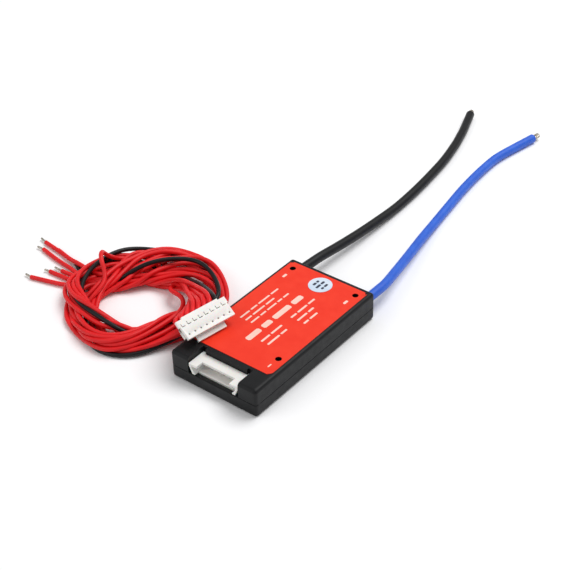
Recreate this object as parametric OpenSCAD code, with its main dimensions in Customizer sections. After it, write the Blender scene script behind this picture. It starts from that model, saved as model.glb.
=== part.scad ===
// Battery management board in a two-shell case, with its main cables and its unplugged balance harness.
// Millimetres, +Z up. The origin is the centre of the case's base. The socket end faces -Y.

/* [Case] */
// Width of the case across the socket end
case_w = 37; // [33:0.5:44]
// Length of the case from the socket end to the cable end
case_l = 67; // [60:1:80]
// Height of the case
case_h = 11.3; // [10.1:0.1:14]
// Height of the joint between the two shells
split_z = 5.2; // [4.6:0.1:6]
// Thickness of the side walls
wall_t = 1.5; // [1.3:0.1:2]
// Thickness of the floor and of the roof
plate_t = 1.5; // [1.2:0.1:2]
// Radius of the four upright corners
corner_r = 2; // [1.6:0.1:4]
// Radius of the rounded top and bottom edges
edge_r = 1.2; // [0.6:0.1:1.4]
// Distance of the probe holes from the centre line
probe_x = 14; // [12.5:0.1:15]
// Diameter of the probe holes
probe_d = 2.3; // [1.6:0.1:3]

/* [Label] */
// Width of the label
label_w = 35.4; // [30:0.1:36]
// Thickness of the label and of the seal sticker
label_t = 0.15; // [0.1:0.05:0.3]
// Diameter of the seal sticker
seal_d = 8.8; // [6:0.2:10]

/* [Board] */
// Thickness of the circuit board
board_t = 1.6; // [1.2:0.1:2]
// Number of power transistors in one row
mosfets_per_row = 3; // [2:1:3]
// Number of cells that the board balances
cells = 7; // [5:1:7]

/* [Connector] */
// Distance from one contact to the next, in the socket and in the plug
contact_pitch = 2.5; // [2.25:0.01:2.75]
// Length of the socket along the row of contacts
socket_l = 21.2; // [19:0.1:24]
// Length of the plug's top plate along the row of contacts
plug_l = 20.2; // [18:0.1:23]
// Slope of the plug, which leans nose down on the case
plug_tilt = 33; // [25:1:40]
// Turn of the plug about the upright
plug_turn = 10; // [0:1:15]

/* [Cables] */
// Diameter of the two main cables
cable_d = 3.7; // [3.2:0.1:4.2]
// Distance of the main cables from the centre line where they leave the case
cable_x = 15; // [13.5:0.1:16]
// Diameter of one harness wire
wire_d = 1.65; // [1.4:0.05:2]

/* [Hidden] */

$fn = 32;
skin = 0.01;

// Colours
black_plastic = [0.07, 0.07, 0.08];
label_red = [0.95, 0.22, 0.14];
seal_white = [0.88, 0.92, 0.96];
board_green = [0.05, 0.3, 0.15];
connector_white = [0.93, 0.92, 0.9];
tinned = [0.75, 0.75, 0.77];
wire_red = [0.85, 0.1, 0.12];
wire_black = [0.08, 0.08, 0.09];
cable_blue = [0.12, 0.35, 0.8];

// Ends of the case
front_y = -case_l / 2;
back_y = case_l / 2;

// Distances from those ends
probes_from_back = 5.5;
probes_from_front = 17.7;
label_from_front = 9.3;
label_from_back = 0.9;
seal_from_back = 7.9;
shunts_from_back = 7;
mosfets_from_back = [15.8, 26.2];
resistors_from_front = 11.9;
transistors_from_front = 16.8;
chip_from_front = 23.6;
plug_from_front = 14.1;

// Case: inside sizes, the lip that joins the shells, and its snap beads
cavity_w = case_w - 2 * wall_t;
cavity_l = case_l - 2 * wall_t;
cavity_r = corner_r - 1;
roof_z = case_h - plate_t;
lip_t = 0.65;
lip_h = 1;
fit = 0.1;
groove = 0.2;
bead_l = 7;
bead_out = 0.2;
bead_y = [-18, 2, 22];

// Probe holes: two over the cable joints, two towards the socket
probe_y = [back_y - probes_from_back, front_y + probes_from_front];

// Label and seal
label_r = 2.2;
label_front_y = front_y + label_from_front;
label_back_y = back_y - label_from_back;
label_top_z = case_h + label_t;
seal_x = 0.3;
seal_y = back_y - seal_from_back;

// Circuit board
board_z = 3.2;
board_top = board_z + board_t;
board_w = cavity_w - 0.6;
board_l = cavity_l - 0.4;
board_r = cavity_r - 0.2;
rib_w = 1.2;
rib_x = 11;
rib_end = 4;
rib_l = board_l - 2 * rib_end;
cross_rib_end = 10;
cross_rib_y = board_l / 2 - cross_rib_end;
post_d = 2.4;
post_from_edge = 1.3;
post_x = board_w / 2 - post_from_edge;
post_y = [-6, 10];
skirt_z = 7.9;
skirt_t = 1;

// Socket: a housing with an open front, end flanges and a bar along the back of its roof
contacts = 8;
contact_span = (contacts - 1) * contact_pitch;
pin_w = 0.64;
pin_clear = 0.03;
socket_top = 9.3;
socket_roof_t = 0.9;
socket_floor_t = 0.9;
socket_wall_gap = 0.4;
socket_front_y = front_y + 0.2;
socket_body_y = front_y + wall_t + socket_wall_gap;
socket_bar_y = socket_body_y + 1.4;
socket_depth = 5.2;
socket_bar_back_y = socket_body_y + socket_depth;
socket_back_y = socket_bar_back_y + 0.9;
socket_wall_y = socket_bar_back_y - 1.1;
socket_gap = 0.25;
roof_cut_w = 14.2;
flange_back_w = 1.4;
mouth_wall = 1.1;
mouth_chamfer = 1.4;
mouth_w = socket_l - 2 * mouth_wall;
mouth_low_w = mouth_w - 2 * mouth_chamfer;
mouth_side_z = board_top + socket_floor_t + 1.6;
leg_inner = mouth_low_w / 2;
leg_outer = leg_inner + 1.2;
leg_foot_z = board_top + 0.4;
pin_z = 7.2;
pin_tip_y = socket_wall_y - 1.9;
pin_back_y = socket_bar_back_y + 1.2;
skirt_w = socket_l - 2 * flange_back_w - 0.4;

// Plug, in its own frame: X along the mating direction, Y along the row, Z out of its top plate
plate_d = 7.4;
plate_thick = 1.3;
slot_t = 1.1;
slot_d = 2.4;
nose_t = 2.5;
nose_back = 1.2;
plug_h = plate_thick + slot_t + nose_t;
nose_fit = 0.2;
nose_w = mouth_w - 2 * nose_fit;
nose_low_w = mouth_low_w - 2 * nose_fit;
nose_side_h = 1.1;
key_w = roof_cut_w - 1.9;
key_out = 1.8;
key_t = 1;
lance_x = -6;
lance_l = 1.3;
lance_w = 1.5;
slit_w = 0.3;
lance_side = -0.85;
dot_x = -1.55;
dot_d = 0.7;
step_x = -4.55;
step_drop = 0.15;
ear_l = 2.4;
ear_out = 0.5;
rear_rib_l = 15.6;
rear_rib_d = 0.6;
barrel_z = -3.5;
barrel_w = 1.7;
crimp_x = -5.4;
plug_x = -11.6;
plug_y = front_y + plug_from_front;
plug_z = label_top_z + plug_h * cos(plug_tilt);

// Main cables: they leave above the joint of the shells, sink to the table and lie on it
cable_z = board_top + cable_d / 2 + 0.05;
cable_rest = 1.9;
cable_fit = 0.05;
joint_y = back_y - 9.5;
sheath_y = back_y - 3.5;
conductor_d = 2;
conductor_z = board_top + conductor_d / 2;
black_route = [
    [-cable_x, sheath_y, cable_z],
    [-cable_x, back_y + 2.5, cable_z],
    [-14.7, 46, 6.3],
    [-14.4, 56, 5.2],
    [-14.2, 68, 4],
    [-14.3, 82, 2.8],
    [-14.6, 96, cable_rest],
    [-15.4, 110, cable_rest],
    [-16.9, 124, cable_rest],
    [-18.9, 138, cable_rest],
    [-21.8, 151, cable_rest],
    [-26, 165, cable_rest],
    [-31, 178.6, cable_rest]
];
black_tip = [-32, 181.4, cable_rest];
blue_route = [
    [cable_x, sheath_y, cable_z],
    [cable_x, back_y + 2.5, cable_z],
    [14.6, 46, 6.2],
    [12.5, 56, 5.2],
    [9.8, 68, 4],
    [6.6, 82, 2.8],
    [3.9, 96, cable_rest],
    [1.7, 110, cable_rest],
    [-0.4, 124, cable_rest],
    [-1.7, 138, cable_rest],
    [-2.1, 150, cable_rest],
    [-0.4, 163, cable_rest],
    [2, 176, cable_rest]
];
blue_tip = [2.7, 180, cable_rest];

// Harness: eight leads rise out of the plug, drop into the coil, and leave it as eight bare-ended tails
coil_x = -53;
coil_y = -10.5;
coil_r = 22.5;
coil_half_w = 7.2;
coil_half_h = 4.4;
coil_z = coil_half_h + 0.1;
lead_out_x = -9.5;
lead_mid = [
    [-27, -22.5, 18.4],
    [-27, -20, 18.4],
    [-27, -17.4, 18.4],
    [-27, -14.9, 18.4],
    [-27, -12.3, 18.4],
    [-27, -9.8, 18.4],
    [-27, -7.2, 18.4],
    [-27, -4.5, 18.4]
];
lead_end = [
    [-32.3, -14.1, 9.7],
    [-32, -11.2, 9.7],
    [-32.1, -8.3, 9.7],
    [-32.6, -5.4, 9.7],
    [-33.5, -2.6, 9.7],
    [-34.8, 0, 9.7],
    [-36.5, 2.4, 9.7],
    [-38.4, 4.6, 9.7]
];
tail_routes = [
    [[-81.2, 0.9, 4.6], [-95, 0.5, 2.6], [-112.3, -3.6, 0.9]],
    [[-82.6, -3.7, 4.4], [-94, -4, 1.2], [-109.4, -7.5, 0.9]],
    [[-81, -2.3, 7.7], [-92, -1.5, 4.6], [-104.4, -4.4, 0.9]],
    [[-83.4, -11, 4.4], [-87.5, -12, 3.4], [-93.1, -13.5, 0.9]],
    [[-83, -14.2, 4.2], [-89, -15, 1.6], [-96.6, -16.4, 0.9]],
    [[-82.3, -17.8, 4.4], [-90, -20, 2.4], [-99.8, -23.2, 0.9]],
    [[-81.8, -9.9, 1.4], [-83.6, -10.4, 1.1], [-85.8, -11, 0.9]],
    [[-83.3, -7.3, 4.4], [-87, -6.8, 2.8], [-92, -7, 0.9]]
];
tail_tips = [
    [-116, -2.6, 0.9],
    [-112.9, -7.6, 0.9],
    [-108.4, -4.6, 0.9],
    [-97.2, -13.4, 0.9],
    [-99.2, -16.8, 0.9],
    [-103, -23, 0.9],
    [-89.6, -10.8, 0.9],
    [-95.5, -7.4, 0.9]
];
bare_d = 0.9;
bar_gap = 0.15;
black_wire = 8;

// ---------------------------------------------------------------- helpers

function unit(v) = v / norm(v);

// Direction of a route at point i, from its neighbours
function heading(p, i) = unit(p[min(i + 1, len(p) - 1)] - p[max(i - 1, 0)]);

// Ring of points round a route at point i; ref is a direction that the route never follows
function ring(p, i, r, sides, ref) =
    let (
        t = heading(p, i),
        side = unit(cross(t, ref)),
        up = cross(side, t)
    )
    [for (k = [0:sides - 1]) p[i] + r * (cos(360 * k / sides) * side + sin(360 * k / sides) * up)];

// Closed tube swept along a route
module tube(p, d, sides, ref) {
    n = len(p);
    points = [for (i = [0:n - 1]) each ring(p, i, d / 2, sides, ref)];
    walls = [
        for (i = [0:n - 2])
            for (k = [0:sides - 1])
                let (k2 = (k + 1) % sides)
                [i * sides + k, (i + 1) * sides + k, (i + 1) * sides + k2, i * sides + k2]
    ];
    start = [for (k = [0:sides - 1]) k];
    finish = [for (k = [0:sides - 1]) n * sides - 1 - k];
    polyhedron(points, concat([start], walls, [finish]), convexity = 6);
}

// Round bar from just past one point to another
module bar(a, b, d) {
    v = b - a;
    translate(a + bar_gap * unit(v))
        rotate([0, acos(v[2] / norm(v)), atan2(v[1], v[0])])
            cylinder(h = norm(v) - bar_gap, d = d);
}

module rounded_rect(w, l, r) {
    square([w - 2 * r, l], center = true);
    square([w, l - 2 * r], center = true);
    for (x = [-1, 1])
        for (y = [-1, 1])
            translate([x * (w / 2 - r), y * (l / 2 - r)])
                circle(r);
}

module rounded_plate(w, l, r, z, h) {
    translate([0, 0, z])
        linear_extrude(h)
            rounded_rect(w, l, r);
}

module block(x0, x1, y0, y1, z0, z1) {
    translate([x0, y0, z0])
        cube([x1 - x0, y1 - y0, z1 - z0]);
}

// Corner of the case: an upright puck with both of its rims rounded
module case_corner() {
    inner = corner_r - edge_r;
    rim = [for (a = [0:22.5:90]) [inner + edge_r * sin(a), edge_r * (1 - cos(a))]];
    top = [for (a = [90:-22.5:0]) [inner + edge_r * sin(a), case_h - edge_r * (1 - cos(a))]];
    rotate_extrude()
        polygon(concat([[0, 0]], rim, top, [[0, case_h]]));
}

module case_body() {
    hull()
        for (x = [-1, 1])
            for (y = [-1, 1])
                translate([x * (case_w / 2 - corner_r), y * (case_l / 2 - corner_r), 0])
                    case_corner();
}

// ---------------------------------------------------------------- case and label

module snap_beads(extra) {
    for (s = [-1, 1])
        for (y = bead_y) {
            x = s * (cavity_w / 2 + lip_t);
            h = bead_out + extra;
            block(x - h, x + h, y - bead_l / 2 - extra, y + bead_l / 2 + extra, split_z + 0.35, split_z + 0.8 + extra);
        }
}

// Round passages of the two cables, opened by a slot from z0 to z1 so that the shells close over them
module cable_passages(slot_w, z0, z1) {
    for (x = [-cable_x, cable_x]) {
        translate([x, case_l / 2 + 1, cable_z])
            rotate([90, 0, 0])
                cylinder(h = wall_t + 2, d = cable_d + 2 * cable_fit);
        block(x - slot_w / 2, x + slot_w / 2, cavity_l / 2 - 1, case_l / 2 + 1, z0, z1);
    }
}

module bottom_case() {
    color(black_plastic) {
        difference() {
            union() {
                intersection() {
                    case_body();
                    block(-case_w, case_w, -case_l, case_l, -1, split_z);
                }
                rounded_plate(cavity_w + 2 * lip_t, cavity_l + 2 * lip_t, corner_r - 0.4, split_z - 1, lip_h + 1);
                intersection() {
                    snap_beads(0);
                    rounded_plate(case_w, case_l, corner_r, split_z, lip_h);
                }
            }
            rounded_plate(cavity_w, cavity_l, cavity_r, plate_t, case_h);
            block(-socket_l / 2 - 1, socket_l / 2 + 1, -case_l, -cavity_l / 2 + 1, split_z, case_h);
            cable_passages(cable_d + 1, split_z, case_h);
            difference() {
                rounded_plate(case_w + 2, case_l + 2, corner_r, split_z - groove, groove + skin);
                rounded_plate(case_w - 2 * groove, case_l - 2 * groove, corner_r - groove, 0, case_h);
            }
        }
        for (s = [-1, 1])
            block(s * rib_x - rib_w / 2, s * rib_x + rib_w / 2, -rib_l / 2, rib_l / 2, plate_t - skin, board_z);
        for (y = [-cross_rib_y, cross_rib_y])
            block(-rib_x, rib_x, y - rib_w / 2, y + rib_w / 2, plate_t - skin, board_z);
    }
}

module top_case() {
    color(black_plastic) {
        difference() {
            intersection() {
                case_body();
                block(-case_w, case_w, -case_l, case_l, split_z, case_h + 1);
            }
            rounded_plate(cavity_w, cavity_l, cavity_r, split_z - 1, roof_z - split_z + 1);
            rounded_plate(
                cavity_w + 2 * (lip_t + fit),
                cavity_l + 2 * (lip_t + fit),
                corner_r - 0.4,
                split_z - 1,
                lip_h + fit + 1
            );
            snap_beads(fit);
            block(
                -socket_l / 2 - socket_gap,
                socket_l / 2 + socket_gap,
                -case_l,
                socket_back_y + socket_gap,
                split_z - 1,
                case_h + 1
            );
            cable_passages(cable_d + 2 * cable_fit, 0, cable_z);
            for (x = [-probe_x, probe_x])
                for (y = probe_y)
                    translate([x, y, roof_z - 1])
                        cylinder(h = plate_t + 2, d = probe_d);
        }
        for (x = [-post_x, post_x])
            for (y = post_y)
                translate([x, y, board_top])
                    cylinder(h = roof_z - board_top + skin, d = post_d);
        // Skirt round the notch: behind the socket it stays above the pins and fills in between the ears
        notch_x = socket_l / 2 + socket_gap;
        notch_y = socket_back_y + socket_gap;
        block(-skirt_w / 2, skirt_w / 2, socket_bar_back_y + fit, notch_y + skin, skirt_z, case_h);
        block(-notch_x - skirt_t, notch_x + skirt_t, notch_y, notch_y + skirt_t, skirt_z, roof_z + skin);
        for (s = [-1, 1])
            block(
                s * (notch_x + skirt_t / 2) - skirt_t / 2,
                s * (notch_x + skirt_t / 2) + skirt_t / 2,
                -cavity_l / 2,
                notch_y + skirt_t,
                board_top + fit,
                roof_z + skin
            );
    }
}

module label() {
    color(label_red)
        difference() {
            translate([0, (label_front_y + label_back_y) / 2, 0])
                rounded_plate(label_w, label_back_y - label_front_y, label_r, case_h, label_t);
            for (x = [-probe_x, probe_x])
                for (y = probe_y)
                    translate([x, y, case_h - 1])
                        cylinder(h = 2, d = probe_d);
        }
}

module seal_sticker() {
    color(seal_white)
        translate([seal_x, seal_y, label_top_z])
            cylinder(h = label_t, d = seal_d, $fn = 64);
}

// ---------------------------------------------------------------- board and its parts

module circuit_board() {
    color(board_green) {
        rounded_plate(board_w, board_l, board_r, board_z, board_t);
        // Test pads under the two front probe holes
        for (x = [-probe_x, probe_x])
            translate([x, probe_y[1], board_top - skin])
                cylinder(h = 0.1, d = 2.2);
    }
}

mosfet_pitch = 8.6;
mosfet_body = [6.6, 6.1, 2.3];

module mosfet(i) {
    column = i % mosfets_per_row - (mosfets_per_row - 1) / 2;
    y = back_y - mosfets_from_back[floor(i / mosfets_per_row)];
    translate([column * mosfet_pitch, y, board_top]) {
        color([0.12, 0.12, 0.13])
            block(-mosfet_body[0] / 2, mosfet_body[0] / 2, -mosfet_body[1] / 2, mosfet_body[1] / 2, 0.1, mosfet_body[2]);
        color(tinned) {
            block(-2.7, 2.7, -1.5, 4.1, 0, 0.5);
            for (x = [-2.3, 2.3]) {
                block(x - 0.4, x + 0.4, -5.4, -4.2, 0, 0.5);
                block(x - 0.4, x + 0.4, -4.4, -3, 0, 1.2);
            }
        }
    }
}

module shunt(i) {
    translate([(i * 2 - 1) * 4.2, back_y - shunts_from_back, board_top]) {
        color([0.15, 0.15, 0.16])
            block(-2.4, 2.4, -1.6, 1.6, 0, 0.8);
        color(tinned)
            for (s = [-1, 1])
                block(s * 2.8 - 0.45, s * 2.8 + 0.45, -1.6, 1.6, 0, 0.82);
    }
}

module protection_chip() {
    translate([0, front_y + chip_from_front, board_top]) {
        color([0.1, 0.1, 0.11])
            block(-4.1, 4.1, -2.65, 2.65, 0.1, 1.8);
        color(tinned)
            for (k = [0:9])
                for (s = [-1, 1])
                    block(-3.1 + k * 0.65, -2.8 + k * 0.65, s * 3.2 - 0.65, s * 3.2 + 0.65, 0, 0.6);
    }
}

cell_pitch = 3.5;

module bleed_resistor(i) {
    translate([(i - (cells - 1) / 2) * cell_pitch, front_y + resistors_from_front, board_top]) {
        color([0.14, 0.14, 0.16])
            block(-0.8, 0.8, -1.2, 1.2, 0, 0.6);
        color(tinned)
            for (s = [-1, 1])
                block(-0.8, 0.8, s * 1.4 - 0.25, s * 1.4 + 0.25, 0, 0.62);
    }
}

module balance_transistor(i) {
    translate([(i - (cells - 1) / 2) * cell_pitch, front_y + transistors_from_front, board_top]) {
        color([0.1, 0.1, 0.11])
            block(-1.45, 1.45, -0.65, 0.65, 0.1, 1.1);
        color(tinned) {
            for (s = [-1, 1])
                block(s * 0.95 - 0.2, s * 0.95 + 0.2, -1.2, -0.5, 0, 0.5);
            block(-0.2, 0.2, 0.5, 1.2, 0, 0.5);
        }
    }
}

// ---------------------------------------------------------------- socket

// Front outline of one end flange: a lobe on top, and a leg that narrows to a foot on the rim of the case
module flange_outline() {
    difference() {
        polygon([
            [roof_cut_w / 2, socket_top],
            [socket_l / 2, socket_top],
            [socket_l / 2, socket_top - 1.1],
            [leg_outer, leg_foot_z],
            [leg_inner, leg_foot_z],
            [leg_inner, board_top + socket_floor_t],
            [mouth_w / 2, mouth_side_z],
            [mouth_w / 2, socket_top - socket_roof_t],
            [roof_cut_w / 2, socket_top - socket_roof_t]
        ]);
        // The legs stop at the lower shell's wall
        translate([0, split_z - case_h])
            square([case_w, case_h]);
    }
}

// Outline of the mouth that the plug's nose enters
module mouth_outline() {
    polygon([
        [-mouth_low_w / 2, board_top + socket_floor_t],
        [mouth_low_w / 2, board_top + socket_floor_t],
        [mouth_w / 2, mouth_side_z],
        [mouth_w / 2, socket_top - socket_roof_t],
        [-mouth_w / 2, socket_top - socket_roof_t],
        [-mouth_w / 2, mouth_side_z]
    ]);
}

module along_y(y0, y1) {
    translate([0, y1, 0])
        rotate([90, 0, 0])
            linear_extrude(y1 - y0)
                children();
}

module socket_housing() {
    color(connector_white)
        difference() {
            union() {
                block(-socket_l / 2, socket_l / 2, socket_body_y, socket_bar_back_y, board_top, socket_top);
                for (s = [-1, 1]) {
                    mirror([s < 0 ? 1 : 0, 0, 0])
                        along_y(socket_front_y, socket_body_y)
                            flange_outline();
                    x = s * (socket_l / 2 - flange_back_w / 2);
                    block(
                        x - flange_back_w / 2,
                        x + flange_back_w / 2,
                        socket_bar_back_y - skin,
                        socket_back_y,
                        board_top,
                        socket_top
                    );
                }
            }
            along_y(socket_body_y - 1, socket_wall_y)
                mouth_outline();
            block(
                -roof_cut_w / 2,
                roof_cut_w / 2,
                socket_front_y - 1,
                socket_bar_y,
                socket_top - socket_roof_t - skin,
                socket_top + 1
            );
            for (i = [0:contacts - 1]) {
                x = i * contact_pitch - contact_span / 2;
                // Snug in the rear wall
                block(
                    x - pin_w / 2,
                    x + pin_w / 2,
                    socket_wall_y - skin,
                    socket_bar_back_y + skin,
                    pin_z - pin_w / 2,
                    pin_z + pin_w / 2
                );
                // Free in the mouth
                block(
                    x - pin_w / 2 - pin_clear,
                    x + pin_w / 2 + pin_clear,
                    pin_tip_y - pin_clear,
                    socket_wall_y,
                    pin_z - pin_w / 2 - pin_clear,
                    pin_z + pin_w / 2 + pin_clear
                );
                // Free behind the bar, down to the board
                block(
                    x - pin_w / 2 - pin_clear,
                    x + pin_w / 2 + pin_clear,
                    socket_bar_back_y,
                    pin_back_y + pin_clear,
                    board_top - skin,
                    pin_z + pin_w / 2 + pin_clear
                );
            }
        }
}

module socket_pins() {
    color(tinned)
        for (i = [0:contacts - 1]) {
            x = i * contact_pitch - contact_span / 2;
            block(x - pin_w / 2, x + pin_w / 2, pin_tip_y, pin_back_y, pin_z - pin_w / 2, pin_z + pin_w / 2);
            block(x - pin_w / 2, x + pin_w / 2, pin_back_y - pin_w, pin_back_y, board_top, pin_z);
        }
}

// ---------------------------------------------------------------- main cables

module cable_conductor(x, route_end, tip) {
    color(tinned) {
        translate([x, sheath_y, conductor_z])
            rotate([90, 0, 0])
                cylinder(h = sheath_y - joint_y, d = conductor_d);
        block(x - 1.6, x + 1.6, joint_y - 0.6, joint_y + 3.6, board_top, board_top + 0.9);
        bar(route_end, tip, conductor_d);
    }
}

module black_cable() {
    color(wire_black)
        tube(black_route, cable_d, 10, [0, 0, 1]);
}

module blue_cable() {
    color(cable_blue)
        tube(blue_route, cable_d, 10, [0, 0, 1]);
}

module black_cable_conductor() {
    cable_conductor(-cable_x, black_route[len(black_route) - 1], black_tip);
}

module blue_cable_conductor() {
    cable_conductor(cable_x, blue_route[len(blue_route) - 1], blue_tip);
}

// ---------------------------------------------------------------- plug

module place_plug() {
    translate([plug_x, plug_y, plug_z])
        rotate([0, plug_tilt, -plug_turn])
            children();
}

module nose_outline() {
    polygon([
        [-nose_w / 2, -plate_thick - slot_t],
        [-nose_w / 2, -plate_thick - slot_t - nose_side_h],
        [-nose_low_w / 2, -plug_h],
        [nose_low_w / 2, -plug_h],
        [nose_w / 2, -plate_thick - slot_t - nose_side_h],
        [nose_w / 2, -plate_thick - slot_t]
    ]);
}

module plug_housing() {
    color(connector_white)
        place_plug()
            difference() {
                union() {
                    block(-plate_d, 0, -plug_l / 2, plug_l / 2, -plate_thick, 0);
                    translate([-plate_d, 0, 0])
                        rotate([90, 0, 90])
                            linear_extrude(plate_d - nose_back)
                                nose_outline();
                    block(-plate_d, -slot_d, -nose_w / 2, nose_w / 2, -plate_thick - slot_t - skin, -plate_thick + skin);
                    block(-slot_d, key_out, -key_w / 2, key_w / 2, -plate_thick - slot_t - key_t, -plate_thick - slot_t);
                    block(-plate_d, -plate_d + ear_l, -plug_l / 2 - ear_out, plug_l / 2 + ear_out, -plate_thick, -0.2);
                    block(-plate_d - rear_rib_d, -plate_d + skin, -rear_rib_l / 2, rear_rib_l / 2, -plate_thick, -0.3);
                }
                // Shallow step behind the row of test holes
                block(-plate_d - 1, step_x, -plug_l, plug_l, -step_drop, 1);
                for (i = [0:contacts - 1])
                    translate([0, i * contact_pitch - contact_span / 2, 0]) {
                        translate([dot_x, 0, -1])
                            cylinder(h = 2, d = dot_d, $fn = 16);
                        block(lance_x, lance_x + lance_l, lance_side, lance_side + slit_w, -1, 1);
                        block(lance_x + lance_l - slit_w, lance_x + lance_l, lance_side, lance_side + lance_w, -1, 1);
                        block(
                            -plate_d - 1,
                            1,
                            -barrel_w / 2,
                            barrel_w / 2,
                            barrel_z - barrel_w / 2,
                            barrel_z + barrel_w / 2
                        );
                    }
            }
}

// Crimped contacts: a box that grips the socket's pin, and a floor under the wire's end
module plug_terminals() {
    color(tinned)
        place_plug()
            for (i = [0:contacts - 1])
                translate([0, i * contact_pitch - contact_span / 2, barrel_z]) {
                    difference() {
                        block(-4, -1.4, -0.75, 0.75, -0.75, 0.75);
                        block(-3.6, -1, -pin_w / 2, pin_w / 2, -pin_w / 2, pin_w / 2);
                    }
                    block(crimp_x, -4 + skin, -0.6, 0.6, -0.75, -0.35);
                }
}

// Where a wire meets its crimp inside the plug
function plug_point(x, y, z) =
    [
        plug_x + (x * cos(plug_tilt) + z * sin(plug_tilt)) * cos(plug_turn) + y * sin(plug_turn),
        plug_y - (x * cos(plug_tilt) + z * sin(plug_tilt)) * sin(plug_turn) + y * cos(plug_turn),
        plug_z - x * sin(plug_tilt) + z * cos(plug_tilt)
    ];

// ---------------------------------------------------------------- harness

module harness_lead(i) {
    y = i * contact_pitch - contact_span / 2;
    route = [
        plug_point(crimp_x, y, barrel_z),
        plug_point(lead_out_x, y, barrel_z),
        lead_mid[i],
        lead_end[i]
    ];
    color(i == black_wire - 1 ? wire_black : wire_red)
        tube(route, wire_d - 0.05, 8, [0, 1, 0]);
}

// The coil's outer shape: a ring with an oval section
module harness_coil() {
    color(wire_red)
        translate([coil_x, coil_y, coil_z])
            rotate_extrude($fn = 64)
                translate([coil_r, 0])
                    polygon([for (a = [0:15:345]) [coil_half_w * cos(a), coil_half_h * sin(a)]]);
}

module harness_tail(i) {
    color(i == black_wire - 1 ? wire_black : wire_red)
        tube(tail_routes[i], wire_d, 8, [0, 0, 1]);
}

module harness_bare_ends() {
    color(tinned)
        for (i = [0:contacts - 1])
            bar(tail_routes[i][2], tail_tips[i], bare_d);
}

// ---------------------------------------------------------------- assembly

bottom_case();
top_case();
label();
seal_sticker();
circuit_board();
for (i = [1:2 * mosfets_per_row])
    mosfet(i - 1);
shunt(0);  // shunt_1
shunt(1);  // shunt_2
protection_chip();
for (i = [1:cells])
    bleed_resistor(i - 1);
for (i = [1:cells])
    balance_transistor(i - 1);
socket_housing();
socket_pins();
black_cable();
blue_cable();
black_cable_conductor();
blue_cable_conductor();
plug_housing();
plug_terminals();
for (i = [1:contacts])
    harness_lead(i - 1);
harness_coil();
for (i = [1:contacts])
    harness_tail(i - 1);
harness_bare_ends();
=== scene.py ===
import math

import bmesh
import bpy
import numpy as np
from mathutils import Matrix, Vector


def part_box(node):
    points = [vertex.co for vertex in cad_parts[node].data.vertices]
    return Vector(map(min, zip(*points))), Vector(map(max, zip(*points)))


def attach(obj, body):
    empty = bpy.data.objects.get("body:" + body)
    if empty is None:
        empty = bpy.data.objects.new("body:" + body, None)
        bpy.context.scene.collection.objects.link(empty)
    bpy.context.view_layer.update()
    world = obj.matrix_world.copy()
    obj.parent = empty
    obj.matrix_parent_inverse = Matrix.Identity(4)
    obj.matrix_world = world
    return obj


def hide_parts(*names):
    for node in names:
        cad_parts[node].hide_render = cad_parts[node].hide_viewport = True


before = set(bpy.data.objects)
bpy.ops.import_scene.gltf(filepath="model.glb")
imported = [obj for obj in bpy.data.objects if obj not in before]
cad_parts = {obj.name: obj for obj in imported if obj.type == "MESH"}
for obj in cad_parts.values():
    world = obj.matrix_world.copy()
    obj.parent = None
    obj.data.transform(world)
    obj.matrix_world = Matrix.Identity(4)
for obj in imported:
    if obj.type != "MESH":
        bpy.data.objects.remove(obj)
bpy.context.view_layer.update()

MM = 0.001


def linear(r, g, b):
    """The linear colour of an sRGB one given from 0 to 255."""
    return tuple(
        c / 255 / 12.92 if c / 255 <= 0.04045 else ((c / 255 + 0.055) / 1.055) ** 2.4
        for c in (r, g, b)
    )


# ---------------------------------------------------------------- camera

camera_data = bpy.data.cameras.new("camera")
camera_data.lens = 83.64
camera_data.sensor_width = 36
camera_data.clip_start = 0.01
camera = bpy.data.objects.new("camera", camera_data)
bpy.context.scene.collection.objects.link(camera)
camera.matrix_world = Matrix(
    (
        (0.786448, -0.348423, 0.510001, 0.23185),
        (0.617140, 0.477033, -0.625762, -0.27845),
        (-0.025258, 0.806871, 0.590187, 0.29126),
        (0, 0, 0, 1),
    )
)
bpy.context.scene.camera = camera

# ---------------------------------------------------------------- materials


def shader(name, colour, roughness, **sockets):
    """A new material with one Principled BSDF, whose constants are on its own sockets."""
    material = bpy.data.materials.new(name)
    material.use_nodes = True
    principled = material.node_tree.nodes["Principled BSDF"]
    principled.inputs["Base Color"].default_value = (*colour, 1)
    principled.inputs["Roughness"].default_value = roughness
    for socket, value in sockets.items():
        principled.inputs[socket.replace("_", " ")].default_value = value
    return material, material.node_tree, principled


def noise(tree, scale, detail=4, stretch=(1, 1, 1)):
    """Noise over the object's own coordinates; scale is per metre."""
    coordinates = tree.nodes.new("ShaderNodeTexCoord")
    mapping = tree.nodes.new("ShaderNodeMapping")
    mapping.inputs["Scale"].default_value = stretch
    texture = tree.nodes.new("ShaderNodeTexNoise")
    texture.inputs["Scale"].default_value = scale
    texture.inputs["Detail"].default_value = detail
    tree.links.new(coordinates.outputs["Object"], mapping.inputs["Vector"])
    tree.links.new(mapping.outputs["Vector"], texture.inputs["Vector"])
    return texture.outputs["Fac"]


# The stretch of a noise's values that most of it lies in
NOISE_LOW = 0.3
NOISE_HIGH = 0.7


def spread(tree, value, low, high):
    """Maps the middle of a noise to low..high."""
    node = tree.nodes.new("ShaderNodeMapRange")
    node.inputs["From Min"].default_value = NOISE_LOW
    node.inputs["From Max"].default_value = NOISE_HIGH
    node.inputs["To Min"].default_value = low
    node.inputs["To Max"].default_value = high
    tree.links.new(value, node.inputs["Value"])
    return node.outputs["Result"]


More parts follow.
